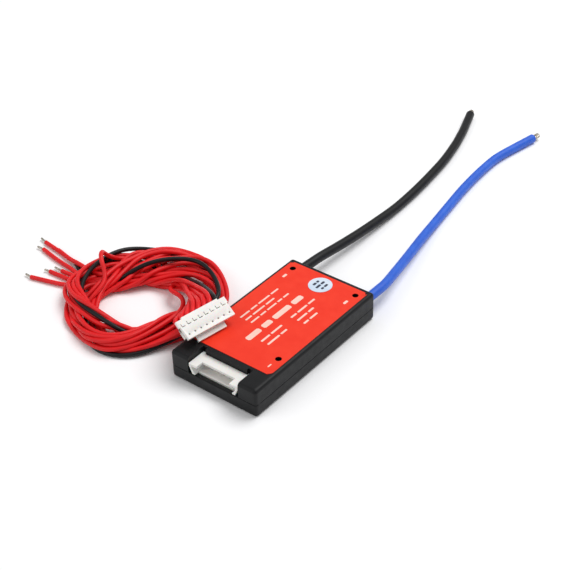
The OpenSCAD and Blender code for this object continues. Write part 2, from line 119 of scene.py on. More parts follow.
def blend(tree, value, first, second):
    """A colour between two, by a noise."""
    node = tree.nodes.new("ShaderNodeValToRGB")
    node.color_ramp.elements[0].position = NOISE_LOW
    node.color_ramp.elements[1].position = NOISE_HIGH
    node.color_ramp.elements[0].color = (*first, 1)
    node.color_ramp.elements[1].color = (*second, 1)
    tree.links.new(value, node.inputs["Fac"])
    return node.outputs["Color"]


def bump(tree, principled, value, depth):
    """A fine relief over the whole surface; depth in metres."""
    node = tree.nodes.new("ShaderNodeBump")
    node.inputs["Distance"].default_value = depth
    node.inputs["Strength"].default_value = 1
    tree.links.new(value, node.inputs["Height"])
    tree.links.new(node.outputs["Normal"], principled.inputs["Normal"])


def surface(
    name, first, second, roughness, grain, depth, patch=220, stretch=(1, 1, 1), **sockets
):
    """A moulded or painted surface: patches of two close colours, uneven gloss and a fine grain."""
    middle = tuple((a + b) / 2 for a, b in zip(first, second))
    material, tree, principled = shader(name, middle, sum(roughness) / 2, **sockets)
    tree.links.new(
        blend(tree, noise(tree, patch, stretch=stretch), first, second),
        principled.inputs["Base Color"],
    )
    tree.links.new(
        spread(tree, noise(tree, patch * 2), *roughness), principled.inputs["Roughness"]
    )
    bump(tree, principled, noise(tree, grain, 2, stretch), depth)
    return material


case_black = surface(
    "case_black",
    linear(12, 13, 15),
    linear(18, 19, 21),
    (0.4, 0.52),
    9000,
    0.00002,
    Specular_IOR_Level=0.25,
)
label_red = surface(
    "label_red",
    linear(243, 52, 28),
    linear(248, 60, 35),
    (0.3, 0.38),
    5000,
    0.000004,
    Specular_IOR_Level=0.3,
)
print_white = surface(
    "print_white", linear(250, 205, 190), linear(253, 218, 204), (0.4, 0.5), 9000, 0.000002
)
seal_film = surface(
    "seal_film", linear(196, 218, 240), linear(226, 236, 247), (0.25, 0.35), 6000, 0.000003
)
seal_ink = surface(
    "seal_ink", linear(40, 46, 66), linear(56, 62, 84), (0.4, 0.5), 9000, 0.000002
)
nylon = surface(
    "nylon",
    linear(238, 236, 231),
    linear(245, 243, 239),
    (0.36, 0.46),
    7000,
    0.000008,
    Subsurface_Weight=0.12,
    Subsurface_Scale=0.0008,
)
red_insulation = surface(
    "red_insulation",
    linear(224, 18, 24),
    linear(236, 27, 32),
    (0.4, 0.52),
    5200,
    0.000012,
    Specular_IOR_Level=0.35,
)
black_insulation = surface(
    "black_insulation",
    linear(12, 12, 14),
    linear(19, 19, 21),
    (0.36, 0.48),
    5200,
    0.000012,
    Specular_IOR_Level=0.3,
)
black_sheath = surface(
    "black_sheath",
    linear(12, 13, 15),
    linear(20, 21, 23),
    (0.4, 0.52),
    3800,
    0.00002,
    Specular_IOR_Level=0.3,
)
blue_sheath = surface(
    "blue_sheath",
    linear(32, 92, 208),
    linear(44, 106, 222),
    (0.38, 0.5),
    3800,
    0.00002,
    Subsurface_Weight=0.05,
    Subsurface_Scale=0.001,
)
tinned_copper = surface(
    "tinned_copper",
    linear(176, 166, 150),
    linear(214, 208, 198),
    (0.24, 0.42),
    6000,
    0.00002,
    patch=900,
    Metallic=1.0,
)
contact_metal = surface(
    "contact_metal",
    linear(196, 194, 190),
    linear(222, 220, 214),
    (0.18, 0.32),
    8000,
    0.000006,
    patch=700,
    Metallic=1.0,
)
board_mask = surface(
    "board_mask", linear(14, 78, 44), linear(20, 92, 54), (0.28, 0.4), 4200, 0.00001
)
chip_epoxy = surface(
    "chip_epoxy", linear(26, 27, 29), linear(36, 37, 40), (0.5, 0.62), 11000, 0.00002
)

# ---------------------------------------------------------------- cords: the two main cables

CABLE_D = 3.7
# Points in millimetres, from inside the case to where the insulation ends
BLACK_CABLE = [
    (-15, 30, 6.7),
    (-15, 36, 6.7),
    (-14.9, 41, 6.5),
    (-14.7, 46, 6.3),
    (-14.4, 56, 5.2),
    (-14.2, 68, 4),
    (-14.3, 82, 2.8),
    (-14.6, 96, 1.9),
    (-15.4, 110, 1.9),
    (-16.9, 124, 1.9),
    (-18.9, 138, 1.9),
    (-21.8, 151, 1.9),
    (-23.8, 158, 1.9),
    (-26, 165, 1.9),
    (-31, 178.6, 1.9),
]
BLACK_TIP = (-32, 181.4, 1.9)
BLUE_CABLE = [
    (15, 30, 6.7),
    (15, 36, 6.7),
    (14.9, 41, 6.5),
    (14.6, 46, 6.2),
    (12.5, 56, 5.2),
    (9.8, 68, 4),
    (6.6, 82, 2.8),
    (3.9, 96, 1.9),
    (1.7, 110, 1.9),
    (-0.4, 124, 1.9),
    (-1.7, 138, 1.9),
    (-2.1, 150, 1.9),
    (-1.5, 156.5, 1.9),
    (-0.4, 163, 1.9),
    (2, 176, 1.9),
]
BLUE_TIP = (2.7, 180, 1.9)
CABLE_STEP = 2
CABLE_TIP_D = 2.3
CABLE_STRANDS = 12
# Where each conductor lies bare on the board: its height, and its two ends along Y
JOINT_Z = 5.8
JOINT_FROM = 30.2
JOINT_TO = 23.6
JOINT_D = 2
JOINT_STRANDS = 9


CURVE_CUTS = 12


def smooth_route(points, step):
    """Points a step apart on a Catmull-Rom curve through the given ones."""
    p = np.array(points, float)
    p = np.vstack([2 * p[0] - p[1], p, 2 * p[-1] - p[-2]])
    curve = []
    for i in range(1, len(p) - 2):
        a, b, c, d = p[i - 1 : i + 3]
        for t in np.linspace(0, 1, CURVE_CUTS, endpoint=False):
            curve.append(
                0.5
                * (
                    2 * b
                    + (c - a) * t
                    + (2 * a - 5 * b + 4 * c - d) * t * t
                    + (3 * b - a - 3 * c + d) * t**3
                )
            )
    curve.append(p[-2])
    return resample(np.array(curve), step)


def run_along(points):
    """How far along the line each of its points is."""
    return np.concatenate([[0], np.cumsum(np.linalg.norm(np.diff(points, axis=0), axis=1))])


def resample(points, step):
    """Points an even step apart along a line."""
    run = run_along(points)
    at = np.linspace(0, run[-1], max(2, int(round(run[-1] / step)) + 1))
    return np.stack([np.interp(at, run, points[:, k]) for k in range(3)], axis=1)


def tube(name, points, diameter, material, sides=4):
    """A round cord as one open spline."""
    data = bpy.data.curves.new(name, "CURVE")
    data.dimensions = "3D"
    data.bevel_depth = diameter * MM / 2
    data.bevel_resolution = sides
    data.use_fill_caps = True
    spline = data.splines.new("POLY")
    spline.points.add(len(points) - 1)
    for control, p in zip(spline.points, points):
        control.co = (*(float(c) * MM for c in p), 1)
    spline.use_smooth = True
    piece = bpy.data.objects.new(name, data)
    bpy.context.scene.collection.objects.link(piece)
    data.materials.append(material)
    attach(piece, "root")
    return piece


def mesh_piece(name, bm, material, smooth_angle=None):
    """A piece from a bmesh, riding on the body."""
    data = bpy.data.meshes.new(name)
    bm.to_mesh(data)
    bm.free()
    piece = bpy.data.objects.new(name, data)
    bpy.context.scene.collection.objects.link(piece)
    data.materials.append(material)
    if smooth_angle:
        data.shade_smooth()
        data.set_sharp_from_angle(angle=math.radians(smooth_angle))
    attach(piece, "root")
    return piece


# A soldered tip: how far it turns over twice its diameter, in radians, the share of its length where its
# rounded end begins, and half the depth of the grooves between its strands as a share of its radius
TIP_TWIST = 0.9
TIP_ROUND_FROM = 0.86
TIP_GROOVE = 0.07
TIP_RINGS = 14
TIP_SMOOTH = 50


def stranded_tip(bm, start, end, diameter, strands):
    """Soldered strands: a lobed bar that twists and closes in a rounded tip. Adds to the bmesh."""
    start, end = Vector(start), Vector(end)
    along = (end - start).normalized()
    side = along.cross(Vector((0, 0, 1))).normalized()
    up = side.cross(along)
    length = (end - start).length
    around = strands * 6
    rows = []
    for r in range(TIP_RINGS):
        s = r / (TIP_RINGS - 1)
        close = max(0.0, (s - TIP_ROUND_FROM) / (1 - TIP_ROUND_FROM))
        radius = diameter / 2 * math.sqrt(max(0.02, 1 - close**2))
        row = []
        for k in range(around):
            a = 2 * math.pi * k / around
            lobe = 1 - TIP_GROOVE + TIP_GROOVE * math.cos(strands * a)
            turn = a + TIP_TWIST * s * length / diameter * 0.5
            offset = (side * math.cos(turn) + up * math.sin(turn)) * radius * lobe
            row.append(bm.verts.new((start + along * length * s + offset) * MM))
        rows.append(row)
    for low, high in zip(rows, rows[1:]):
        for k in range(around):
            n = (k + 1) % around
            bm.faces.new((low[k], low[n], high[n], high[k]))
    bm.faces.new(list(reversed(rows[0])))
    bm.faces.new(rows[-1])


def tip_piece(name, bars):
    """One piece from one or more tinned bars, each (start, end, diameter, strands)."""
    bm = bmesh.new()
    for bar in bars:
        stranded_tip(bm, *bar)
    bmesh.ops.recalc_face_normals(bm, faces=bm.faces)
    return mesh_piece(name, bm, tinned_copper, TIP_SMOOTH)


for colour, route, tip, material in (
    ("black", BLACK_CABLE, BLACK_TIP, black_sheath),
    ("blue", BLUE_CABLE, BLUE_TIP, blue_sheath),
):
    node = f"{colour}_cable"
    line = smooth_route(route, CABLE_STEP)
    cable = tube(node + "_sheath", line, CABLE_D, material, sides=6)
    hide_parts(node)
    x = route[0][0]
    # One stranded conductor, seen where it is soldered to the board and where it leaves the sheath
    ends = tip_piece(
        node + "_strands",
        [
            ((x, JOINT_FROM, JOINT_Z), (x, JOINT_TO, JOINT_Z), JOINT_D, JOINT_STRANDS),
            (route[-1], tip, CABLE_TIP_D, CABLE_STRANDS),
        ],
    )
    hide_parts(node + "_conductor")

# ---------------------------------------------------------------- cords: the balance harness

WIRE_D = 1.7
WIRES = 8
# Wires are counted from 0 here, the black one last
BLACK = 7
PITCH = 2.5
WIRE_STEP = 1.5
WIRE_TIP_D = 0.9
WIRE_STRANDS = 7
CENTRE = np.array([-53, -10.5])
# Section of the coil by angle about its centre: radius of its middle, half its width, half its height
COIL = [
    (0, 23, 6.5, 2.7),
    (10, 24.5, 5.8, 2.8),
    (20, 24.8, 4.6, 3),
    (40, 25.1, 4.6, 3),
    (60, 24.7, 5.4, 3),
    (75, 24.4, 6.4, 2.8),
    (85, 23.3, 7.7, 2.7),
    (95, 22.6, 8.6, 2.6),
    (105, 21.2, 9.4, 2.6),
    (120, 20.6, 10.2, 2.6),
    (140, 21.4, 10.8, 2.6),
    (155, 21.6, 10.4, 2.6),
    (170, 21, 9.2, 2.6),
    (185, 22.6, 8, 2.6),
    (200, 24.4, 6.8, 2.6),
    (215, 23.2, 5.4, 2.9),
    (230, 22.6, 4.8, 3),
    (250, 22.3, 4.5, 3),
    (270, 22.8, 6.4, 2.8),
    (285, 23.5, 6.9, 2.7),
    (300, 23.6, 6.4, 2.7),
    (319, 21.6, 5.4, 2.8),
    (337, 20.2, 5.2, 2.8),
    (350, 21.5, 6.3, 2.7),
]
# Angles, counted on through the turns, at which each wire is innermost and outermost in turn: between
# them it passes under the others on its way out, and over them on its way in
TURNS = [
    (62, 185, 290, 430, 512, 620, 735, 830, 940),
    (66, 192, 294, 410, 505, 608, 722, 825, 935),
    (58, 110, 205, 245, 385, 525, 632, 700, 850, 960),
    (74, 186, 284, 362, 500, 600, 712, 815, 925),
    (66, 250, 365, 428, 545, 690, 855, 960, 1070),
    (70, 240, 385, 470, 565, 700, 860, 970, 1080),
    (78, 180, 276, 447, 560, 715, 870, 980, 1090),
    (75, 172, 300, 455, 592, 650, 865, 970, 1080),
]
# Each lead between its barrel and the coil
LEADS = [
    [
        (-24.5, -22, 15.5), (-29.8, -13.5, 10.5), (-34, -4.5, 5.5), (-38.5, 4, 2.4),
        (-46.5, 8, 1.2), (-55.5, 8.5, 1),
    ],
    [
        (-24.5, -19.5, 16), (-30, -11, 11.5), (-34.8, -2.5, 6.5), (-40, 4.5, 3.4),
        (-47.5, 7, 2), (-56, 6.5, 1),
    ],
    [
        (-24.5, -17, 16.5), (-30.5, -10, 13), (-36, -3.5, 10), (-42.5, 2.5, 6),
        (-49, 5, 3.4), (-56, 4, 1.6),
    ],
    [
        (-23.5, -15, 17.6), (-27.5, -12, 16), (-33, -7.5, 13), (-39.5, -2, 9.4),
        (-46.5, 2, 6), (-52, 3.5, 3), (-57.5, 2, 1.4),
    ],
    [
        (-23, -13, 17.8), (-27, -10.5, 15.6), (-34, -6, 12), (-42, -0.5, 7.4),
        (-49, 2.5, 3.6), (-54, 3, 1.6), (-59, 1, 1),
    ],
    [
        (-22.5, -11, 17.8), (-27, -8.5, 15.6), (-34, -4.5, 12), (-41.5, -0.5, 8),
        (-48.5, 2.5, 4.6), (-54, 2, 2), (-59, 0, 1),
    ],
    [
        (-22.5, -8.5, 18), (-29, -5.5, 15.4), (-36.5, -2, 12), (-45, 1, 8),
        (-51.5, 2, 5), (-55.5, 1, 3), (-60, -1.5, 1.6),
    ],
    [
        (-22, -7, 17.2), (-27.5, -3.5, 14.6), (-35.5, 1.5, 10.4), (-44.5, 5.5, 6),
        (-50.5, 8, 3), (-56.5, 8, 1),
    ],
]
# Each tail from the coil to where its insulation ends, and its bare tip
TAILS = [
    [
        (-77.5, -8.5, 1.5), (-84, -7.5, 1.2), (-93.5, -6.5, 1), (-103, -5, 1),
        (-112.3, -3.6, 0.9), (-116, -2.6, 0.9),
    ],
    [
        (-76.5, -11.5, 1.2), (-84, -11, 1), (-91, -10.5, 1), (-99.5, -9.5, 1),
        (-109.4, -7.5, 0.9), (-112.9, -7.6, 0.9),
    ],
    [
        (-77, -10, 2.6), (-85, -8.5, 2.4), (-94, -7, 1.6), (-104.4, -4.4, 0.9),
        (-108.4, -4.6, 0.9),
    ],
    [
        (-76, -12, 1.6), (-82, -13, 1.6), (-87, -13.5, 1.4), (-93.1, -13.5, 0.9),
        (-97.2, -13.4, 0.9),
    ],
    [
        (-74, -13, 1.2), (-80, -15, 1.2), (-86, -16, 1.2), (-96.6, -16.4, 0.9),
        (-99.2, -16.8, 0.9),
    ],
    [
        (-73, -13, 1.4), (-79.5, -17, 1.4), (-85.5, -19.5, 1.2), (-99.8, -23.2, 0.9),
        (-103, -23, 0.9),
    ],
    [
        (-71, -8, 1), (-78, -9.8, 1), (-82, -10.2, 0.9), (-85.8, -11, 0.9),
        (-89.6, -10.8, 0.9),
    ],
    [
        (-70, -10, 2), (-77, -12, 1), (-83, -11, 1), (-88, -9, 1),
        (-92, -7, 0.9), (-95.5, -7.4, 0.9),
    ],
]
# Angle at which each wire leaves the coil
LEAVES = [835, 842, 838, 840, 846, 850, 848, 862]
# Places that a wire is drawn through, as (angle, x, y, z)
DRAWN = {
    7: [
        [
            (186, -81, -13.5, 2.4),
            (196, -80.5, -18.5, 3.4),
            (206, -77.5, -22.5, 4.6),
            (222, -71.5, -27, 6),
            (239, -64.5, -29.5, 6.8),
            (259, -57, -30.5, 6.8),
            (276, -51, -31, 6.2),
            (288, -46.5, -30.5, 5),
            (296, -44.5, -28, 2.4),
            (306, -42, -26, 1),
        ],
        [
            (490, -74, 14.5, 3),
            (498, -77.5, 12, 3.6),
            (508, -80.5, 7, 4.6),
            (521, -81, -1, 5.6),
            (533, -80.5, -7, 6),
            (545, -79, -12.5, 6),
            (559, -76.5, -18.5, 6),
            (577, -71.5, -24.5, 5.4),
        ],
        [
            (620, -57.5, -37, 1),
            (635, -50.5, -40, 1),
            (648, -43.5, -39.5, 1),
            (658, -39, -37, 1.2),
            (668, -35, -33.5, 1.6),
            (679, -32.5, -28.5, 2),
            (691, -30.5, -23, 2.4),
            (702, -28, -18.5, 3.4),
            (748, -27.5, 3, 7.8),
            (763, -33, 8, 8),
            (780, -40, 12.5, 8),
            (798, -47.8, 14.8, 8.4),
            (812, -53.6, 11.6, 9),
            (828, -58.6, 6.2, 9.4),
            (846, -62.6, 0.6, 8.6),
            (856, -65, -2.6, 6.6),
        ],
    ],
    0: [
        [
            (179, -82.5, -9.5, 2.4),
            (191, -84, -16.5, 3),
            (206, -80.5, -24, 4),
            (216, -76.5, -27.5, 4.4),
            (229, -70, -30, 5),
            (248, -61.5, -32, 5.6),
            (270, -53, -33, 5.8),
        ],
        [
            (459, -58, 20.5, 3.5),
            (471, -64.5, 19, 4.2),
            (481, -68.5, 15, 5),
            (492, -71, 9.5, 5.6),
            (506, -71.5, 2, 6),
            (523, -72.5, -4.5, 6),
            (537, -72.5, -9.5, 5.6),
            (554, -71.5, -15, 5),
        ],
    ],
    2: [
        [
            (153, -79, 3, 3),
            (159, -80, 0, 5.5),
            (166, -79, -4, 9.5),
            (172, -78, -7, 14),
            (175, -77.5, -8, 16.4),
            (177, -76, -9, 13.6),
            (179, -74.5, -9.5, 10.8),
            (181, -72.5, -10.5, 8.8),
            (185, -70.5, -11.5, 7),
            (192, -68.5, -13.5, 5.6),
        ]
    ],
    4: [
        [
            (257, -59, -36.5, 1),
            (273, -51.5, -39, 1.4),
            (286, -45, -39.5, 2),
            (296, -40.5, -36.5, 2.6),
            (310, -36.5, -30.5, 3.4),
            (327, -33.5, -23, 4),
            (344, -32, -16.5, 4.6),
        ]
    ],
    5: [
        [
            (256, -59.5, -35, 1.2),
            (271, -52.5, -38, 2.2),
            (284, -46, -39, 3.4),
            (295, -41, -36, 4.6),
            (306, -37.5, -31, 5.4),
            (319, -35.5, -25.5, 6),
            (335, -34.5, -19.5, 6.6),
            (352, -33.5, -13.5, 7),
            (367, -35, -8, 7),
            (388, -40, -3.5, 6.4),
            (399, -43.5, -3, 6),
            (425, -49.5, -3, 5),
        ]
    ],
    6: [
        [
            (755, -28, 7, 4),
            (765, -32, 11, 4),
            (781, -38.5, 16, 5),
            (798, -46.5, 20, 5.6),
            (809, -52.5, 19, 6),
            (820, -57.5, 14, 6.2),
            (836, -62.5, 9, 6.2),
            (848, -65, 4, 5.6),
        ]
    ],
}
# Where the plug is, and in its own frame each contact's place along it and the points on a wire's way out
# of its barrel
PLUG = (
    Matrix.Translation((-11.6, -19.4, 15.56))
    @ Matrix.Rotation(math.radians(-10), 4, "Z")
    @ Matrix.Rotation(math.radians(33), 4, "Y")
)
PLUG_ROW = [(i - (WIRES - 1) / 2) * PITCH for i in range(WIRES)]
BARREL_X = (-5.6, -7.4, -8.6)
BARREL_Z = -3.5
# How firmly points are held when the wires are moved off one another, from 0 to 1
HELD = 1.0
LEAD_HOLD = 0.5
COIL_HOLD = 0.02
DRAWN_HOLD = 0.4
BLACK_HOLD = 0.8
TAIL_HOLD = 0.3
# Degrees between points in the coil, after a lead's last point, before a tail's first one, and over which a
# drawn run is blended in
COIL_STEP = 3
LEAD_GAP = 24
TAIL_GAP = 8
BLEND = 30
# Share of the coil's section that a wire's path fills, and how it varies along the wire
FILL = 0.88
FILL_CHANGE = 0.09
FILL_RATE = 0.63
FILL_SHIFT = 1.7


def coil_point(wire, angle):
    """A wire's place in the coil, where it goes out under the other wires and comes in over them."""
    shape = np.array(COIL, float)
    shape = np.vstack([shape, shape[0] + [360, 0, 0, 0]])
    middle, wide, high = (
        float(np.interp(angle % 360, shape[:, 0], shape[:, k])) for k in (1, 2, 3)
    )
    turns = TURNS[wire]
    winding = math.radians(np.interp(angle, turns, [180 + 180 * k for k in range(len(turns))]))
    sway = math.radians(angle)
    out = FILL + FILL_CHANGE * math.sin(FILL_RATE * sway + FILL_SHIFT * wire)
    radius = middle + wide * out * boxed(math.cos(winding))
    z = WIRE_D / 2 + high * (1 + out * boxed(math.sin(winding)))
    return np.array(
        [
            CENTRE[0] + radius * math.cos(sway),
            CENTRE[1] + radius * math.sin(sway),
            z,
        ]
    )


def boxed(value):
    """Fills the corners of the coil's section, which is more a flat box than an ellipse."""
    return math.copysign(abs(value) ** 0.75, value)


def wire_route(wire):
    """The wire's points from its barrel to the end of its insulation, and how firmly each is held."""
    barrel = [PLUG @ Vector((x, PLUG_ROW[wire], BARREL_Z)) for x in BARREL_X]
    points = [(tuple(p), HELD) for p in barrel]
    points += [(p, LEAD_HOLD) for p in LEADS[wire]]
    end = LEADS[wire][-1]
    first = math.degrees(math.atan2(end[1] - CENTRE[1], end[0] - CENTRE[0])) % 360 + LEAD_GAP
    for angle in np.arange(first, LEAVES[wire] - TAIL_GAP, COIL_STEP):
        place, hold = coil_point(wire, angle), COIL_HOLD
        for run in DRAWN.get(wire, []):
            run = np.array(run, float)
            low, high = run[0, 0], run[-1, 0]
            near = min(1.0, max(0.0, 1 - (low - angle) / BLEND)) * min(
                1.0, max(0.0, 1 - (angle - high) / BLEND)
            )
            near = near * near * (3 - 2 * near)
            if near > 0:
                drawn = np.array([np.interp(angle, run[:, 0], run[:, k]) for k in (1, 2, 3)])
                # Past a run's end its offset from the coil's middle line is carried on
                if not low <= angle <= high:
                    edge = low if angle < low else high
                    drawn = carried(drawn, edge, angle)
                place = place * (1 - near) + drawn * near
                hold = max(hold, (BLACK_HOLD if wire == BLACK else DRAWN_HOLD) * near)
        points.append((tuple(place), hold))
    tail = TAILS[wire]
    points += [(p, TAIL_HOLD) for p in tail[:2]] + [(p, HELD) for p in tail[2:-1]]
    return points


def carried(point, edge, angle):
    """The point turned about the coil's centre from one angle to another."""
    turn = math.radians(angle - edge)
    x, y = point[:2] - CENTRE
    return np.array(
        [
            CENTRE[0] + x * math.cos(turn) - y * math.sin(turn),
            CENTRE[1] + x * math.sin(turn) + y * math.cos(turn),
            point[2],
        ]
    )


# Room between wires and over the table, in millimetres
WIRE_GAP = 0.06
TABLE_GAP = 0.02
# Pairs are looked for again after so many rounds, and with so much more room than the wires need
PAIR_ROUNDS = 10
PAIR_REACH = 1.2
# In each round: share of an overlap that each wire gives way, the most it moves, how much less a held point
# moves, how far a held point goes back, and how far a free one sinks
GIVE = 0.42
MOST = 0.5
HELD_LESS = 0.7
BACK = 0.06
SINK = 0.01
# Points held less than this are free, and a push is no larger than at this distance between points
FREE = 0.1
NEAREST = 0.05


def settle(lines, holds, rounds):
    """Moves the wires off one another and off the table.

    What is evened out is each point's shift and not the line itself, so no turn shrinks.
    """
    start = np.vstack(lines)
    hold = np.concatenate(holds)[:, None]
    wire = np.concatenate([np.full(len(p), i) for i, p in enumerate(lines)])
    index = np.concatenate([np.arange(len(p)) for p in lines])
    place = start.copy()
    inner = (index > 0) & np.append(wire[1:] == wire[:-1], False)
    inside = np.flatnonzero(inner)
    apart = WIRE_D + WIRE_GAP
    for step in range(rounds):
        if step % PAIR_ROUNDS == 0:
            a, b = near_pairs(place, wire, index, apart + PAIR_REACH)
        gap = place[a] - place[b]
        distance = np.linalg.norm(gap, axis=1)
        push = np.clip(apart - distance, 0, None)[:, None] * gap
        push *= GIVE / np.maximum(distance, NEAREST)[:, None]
        move = np.zeros_like(place)
        for k in range(3):
            move[:, k] = np.bincount(a, push[:, k], len(place)) - np.bincount(
                b, push[:, k], len(place)
            )
        size = np.linalg.norm(move, axis=1)[:, None]
        move *= np.minimum(1, MOST / np.maximum(size, 1e-9))
        place = place + move * (1 - HELD_LESS * hold)
        shift = place - start
        for _ in range(3):
            even_out(shift, inside)
        shift *= 1 - BACK * hold
        shift[hold[:, 0] >= HELD] = 0
        place = start + shift
        place[:, 2] -= SINK * (hold[:, 0] < FREE)
        place[:, 2] = np.maximum(place[:, 2], WIRE_D / 2 + TABLE_GAP)
    return [place[wire == i] for i in range(len(lines))]


def even_out(values, inside):
    """Moves each inner row half way towards the middle of its neighbours."""
    values[inside] += 0.5 * ((values[inside - 1] + values[inside + 1]) / 2 - values[inside])


# Points compared with all others at a time
BLOCK = 256
# Points of one wire that are no further apart than this, counted along it, are no pair
OWN_APART = 6


def near_pairs(place, wire, index, reach):
    """Pairs of points of different wires, or of one wire some way apart along it, that are near."""
    found_a, found_b = [], []
    for start in range(0, len(place), BLOCK):
        block = place[start : start + BLOCK]
        square = ((block[:, None, :] - place[None, :, :]) ** 2).sum(axis=2)
        i, j = np.nonzero(square < reach * reach)
        i = i + start
        keep = (j > i) & ((wire[i] != wire[j]) | (np.abs(index[i] - index[j]) > OWN_APART))
        found_a.append(i[keep])
        found_b.append(j[keep])
    return np.concatenate(found_a), np.concatenate(found_b)


# A wire's bends are eased to this many diameters, except at its first and last few points
BEND = 2.3
BEND_ENDS = 4
BEND_ROUNDS = 80


def ease_bends(points, tightest):
    """Evens a line out where it bends more tightly than it may, for a number of rounds at most."""
    for _ in range(BEND_ROUNDS):
        steps = np.diff(points, axis=0)
        lengths = np.linalg.norm(steps, axis=1)
        ways = steps / lengths[:, None]
        turns = np.arccos(np.clip((ways[1:] * ways[:-1]).sum(axis=1), -1, 1))
        radii = (lengths[1:] + lengths[:-1]) / 2 / np.maximum(turns, 1e-6)
        tight = 1 + np.flatnonzero(radii < tightest)
        tight = tight[(tight >= BEND_ENDS) & (tight < len(points) - BEND_ENDS)]
        if not len(tight):
            break
        near = np.unique(np.concatenate([tight + k for k in (-2, -1, 0, 1, 2)]))
        even_out(points, near)


LINE_ROUNDS = 10
SETTLE_ROUNDS = 160


def harness_lines():
    """The eight wires' centre lines, from the barrel to where the insulation ends."""
    lines, holds = [], []
    for wire in range(WIRES):
        points = wire_route(wire)
        place = np.array([p for p, _ in points], float)
        held = np.array([h for _, h in points])
        line = smooth_route(place, WIRE_STEP)
        run = run_along(place)
        own = run_along(line)
        inside = np.arange(4, len(line) - 6)
        for _ in range(LINE_ROUNDS):
            even_out(line, inside)
        lines.append(line)
        holds.append(np.interp(own / own[-1] * run[-1], run, held))
    settled = settle(lines, holds, SETTLE_ROUNDS)
    for line in settled:
        ease_bends(line, BEND * WIRE_D)
    return settled


for number, line in enumerate(harness_lines(), 1):
    black = number - 1 == BLACK
    wire = tube(
        f"harness_wire_{number}",
        line,
        WIRE_D,
        black_insulation if black else red_insulation,
    )
    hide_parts(f"harness_lead_{number}", "harness_coil", f"harness_tail_{number}")
    bare = tip_piece(
        f"harness_bare_end_{number}",
        [(tuple(line[-1]), TAILS[number - 1][-1], WIRE_TIP_D, WIRE_STRANDS)],
    )
    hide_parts("harness_bare_ends")

# ---------------------------------------------------------------- rigid pieces over their CAD solids


SMOOTH_ANGLE = 32
BEVEL_ANGLE = 40


def dressed(node, material, bevel):
    """A copy of a CAD solid with its flat faces joined, its curves smooth and its edges eased."""
    bm = bmesh.new()
    bm.from_mesh(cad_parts[node].data)
    bmesh.ops.remove_doubles(bm, verts=bm.verts, dist=1e-6)
    bmesh.ops.dissolve_limit(
        bm, angle_limit=math.radians(1), verts=bm.verts, edges=bm.edges
    )
    bmesh.ops.recalc_face_normals(bm, faces=bm.faces)
    piece = mesh_piece(node + "_part", bm, material, SMOOTH_ANGLE)
    eased = piece.modifiers.new("eased_edges", "BEVEL")
    eased.width = bevel * MM
    eased.segments = 2
    eased.limit_method = "ANGLE"
    eased.angle_limit = math.radians(BEVEL_ANGLE)
    eased.harden_normals = True
    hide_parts(node)
    return piece


# The test hole and the two arms of the latch slit of one contact, in the plug's own frame. Each is cut from
# just above the plug's face down into the contact's chamber
HOLE_TOP = 0.5
HOLE_FLOOR = -3
HOLE_X = -1.55
HOLE_RADIUS = 0.36
SLIT_ARMS = ((-5.99, -4.71, -0.84, -0.56), (-4.99, -4.71, -0.7, 0.64))


def box_in_plug(bm, x0, x1, y0, y1, z0, z1):
    """Adds a box to the bmesh, given in the plug's own frame."""
    size = Vector((x1 - x0, y1 - y0, z1 - z0))
    middle = Vector((x0 + x1, y0 + y1, z0 + z1)) / 2
    place = Matrix.Scale(MM, 4) @ PLUG @ Matrix.Translation(middle) @ Matrix.Diagonal((*size, 1))
    bmesh.ops.create_cube(bm, size=1, matrix=place)


def plug_cutter():
    """Test holes and latch slits that open into the contacts' chambers, as the moulded ones do."""
    bm = bmesh.new()
    for y in PLUG_ROW:
        middle = Matrix.Translation((HOLE_X, y, (HOLE_FLOOR + HOLE_TOP) / 2))
        bmesh.ops.create_cone(
            bm,
            cap_ends=True,
            segments=16,
            radius1=HOLE_RADIUS,
            radius2=HOLE_RADIUS,
            depth=HOLE_TOP - HOLE_FLOOR,
            matrix=Matrix.Scale(MM, 4) @ PLUG @ middle,
        )
        for x0, x1, y0, y1 in SLIT_ARMS:
            box_in_plug(bm, x0, x1, y + y0, y + y1, HOLE_FLOOR, HOLE_TOP)
    data = bpy.data.meshes.new("plug_cutter")
    bm.to_mesh(data)
    bm.free()
    cutter = bpy.data.objects.new("plug_cutter", data)
    bpy.context.scene.collection.objects.link(cutter)
    return cutter


def pierce(piece, cutter):
    """Cuts the cutter out of the piece for good, before the piece's other modifiers."""
    others = [m.name for m in piece.modifiers]
    for name in others:
        piece.modifiers[name].show_viewport = False
    cut = piece.modifiers.new("pierced", "BOOLEAN")
    cut.object = cutter
    cut.solver = "EXACT"
    cut.use_self = True
    graph = bpy.context.evaluated_depsgraph_get()
    data = bpy.data.meshes.new_from_object(piece.evaluated_get(graph))
    piece.modifiers.remove(cut)
    piece.data = data
    for name in others:
        piece.modifiers[name].show_viewport = True
    bpy.data.objects.remove(cutter)


# Radius of the case's upright corners, in the solid and in the photograph
SOLID_CORNER = 2
SEEN_CORNER = 1


